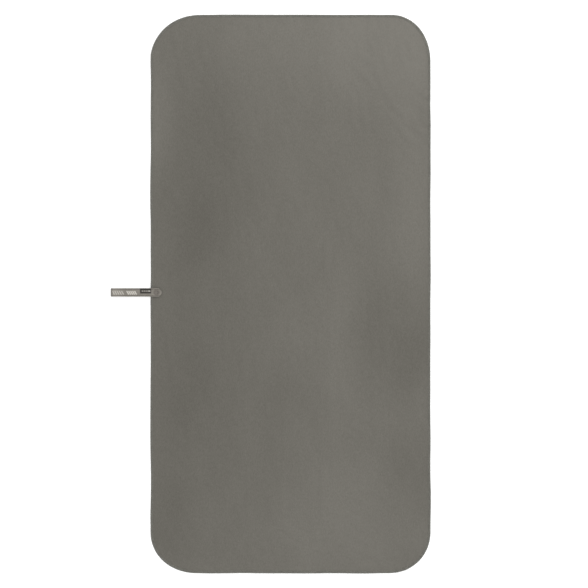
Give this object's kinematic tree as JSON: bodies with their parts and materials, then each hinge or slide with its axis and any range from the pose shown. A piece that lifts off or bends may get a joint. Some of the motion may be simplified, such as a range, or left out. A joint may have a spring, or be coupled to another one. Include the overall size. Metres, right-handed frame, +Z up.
{
  "type": "quick dry towel",
  "caption": "Rectangular microfibre travel towel with rounded corners, an overlocked edge and a woven tape hang loop that snaps onto the cloth.",
  "frame": {"origin": "middle of the cloth's flat underside, on the surface that the towel lies on", "axes": "+Y along the long side, -X towards the side with the hang loop, +Z up out of the cloth's top"},
  "size_m": [0.6868, 1.2008, 0.0082],
  "materials": {
    "microfibre": "brushed suede knit, warm grey, matte with a soft nap",
    "thread": "spun polyester sewing thread, dyed near the cloth's tone",
    "tape": "woven polyester tape, light taupe, fine ribs",
    "snap_plastic": "moulded acetal, satin, matched to the tape",
    "patch": "dark woven patch, plain"
  },
  "bodies": {
    "towel": {"towel_cloth": "microfibre", "edge_thread_upper": "thread", "edge_thread_lower": "thread", "edge_thread_needle": "thread", "loop_tape_fixed": "tape", "box_stitch_needle": "thread", "box_stitch_bobbin": "thread", "snap_stud": "snap_plastic", "snap_back_cap": "snap_plastic"},
    "loop_flap": {"loop_tape_free": "tape", "snap_cap": "snap_plastic", "snap_socket": "snap_plastic", "tape_patch": "patch"}
  },
  "joints": [
    {"name": "loop_open", "type": "hinge", "parent": "towel", "child": "loop_flap", "pos_m": [-0.3864, 0.0035, 0.00345], "axis": [0, -1, 0], "range_deg": [0, 170]}
  ]
}
